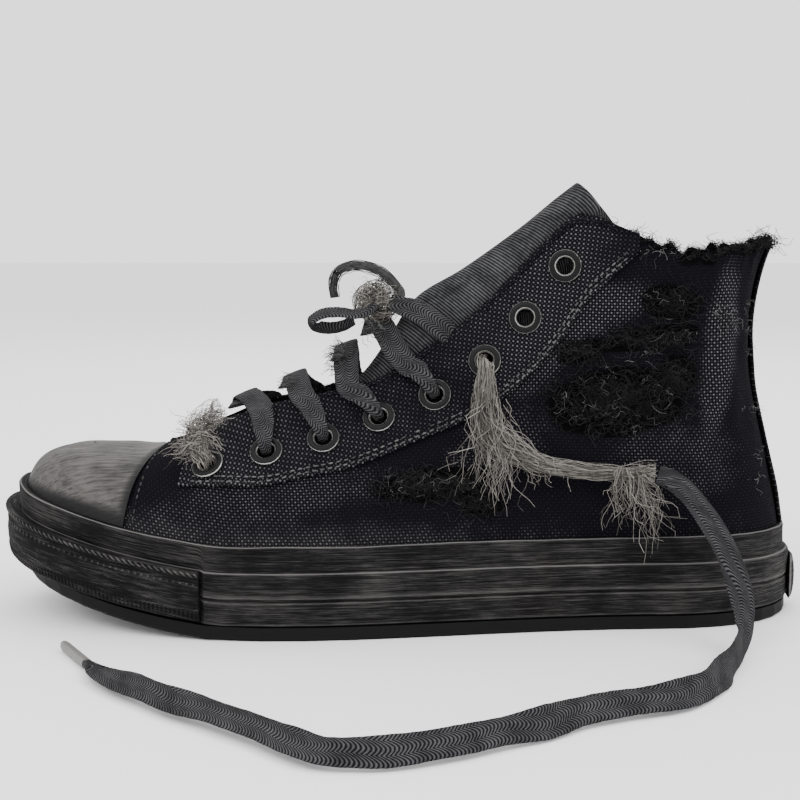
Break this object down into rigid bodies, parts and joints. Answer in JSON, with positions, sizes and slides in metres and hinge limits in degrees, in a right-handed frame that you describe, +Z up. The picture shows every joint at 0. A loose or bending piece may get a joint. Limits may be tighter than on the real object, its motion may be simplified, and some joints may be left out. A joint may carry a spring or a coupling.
{
  "type": "worn-out canvas high-top sneaker",
  "caption": "Left canvas high-top with rubber toe cap and foxing, its dark cloth holed and frayed, a torn lace trailing on the floor.",
  "frame": {"origin": "on the floor under the middle of the shoe, loose laces left out", "axes": "+X towards the heel, -X towards the toe, +Z up; the outer side of this left shoe faces -Y"},
  "size_m": [0.3038, 0.2264, 0.1621],
  "materials": {
    "canvas": "faded near-black plain weave, matt and frayed",
    "sole_rubber": "dark painted rubber, scuffed and dusty",
    "cap_rubber": "grey rubber with worn dark paint, brushed by scuffs",
    "tongue_cloth": "grey ribbed twill, matt",
    "lining_cloth": "worn grey cloth",
    "lace": "flat woven cotton, frayed at the ends",
    "eyelet_metal": "black paint worn to dull metal at the rim",
    "tip_plastic": "grey lace tip"
  },
  "bodies": {
    "root": {"outsole": "sole_rubber", "midsole": "sole_rubber", "toe_guard": "sole_rubber", "heel_plate": "sole_rubber", "toe_cap": "cap_rubber", "upper": "canvas", "eyestay_outer": "canvas", "eyestay_inner": "canvas", "heel_strip": "canvas", "tongue": "tongue_cloth", "insole": "lining_cloth", "lace_crossing_1": "lace", "lace_crossing_2": "lace", "lace_crossing_3": "lace", "lace_crossing_4": "lace", "side_lace": "lace", "long_lace": "lace", "bow_loop": "lace", "thin_arch": "lace", "lace_knot": "lace", "toe_tuft": "lace", "lace_tip": "tip_plastic", "eyelet_outer_1": "eyelet_metal", "eyelet_outer_2": "eyelet_metal", "eyelet_outer_3": "eyelet_metal", "eyelet_outer_4": "eyelet_metal", "eyelet_outer_5": "eyelet_metal", "eyelet_outer_6": "eyelet_metal", "eyelet_outer_7": "eyelet_metal", "eyelet_outer_8": "eyelet_metal", "eyelet_inner_1": "eyelet_metal", "eyelet_inner_2": "eyelet_metal", "eyelet_inner_3": "eyelet_metal", "eyelet_inner_4": "eyelet_metal", "eyelet_inner_5": "eyelet_metal", "eyelet_inner_6": "eyelet_metal", "eyelet_inner_7": "eyelet_metal", "eyelet_inner_8": "eyelet_metal"}
  },
  "joints": []
}
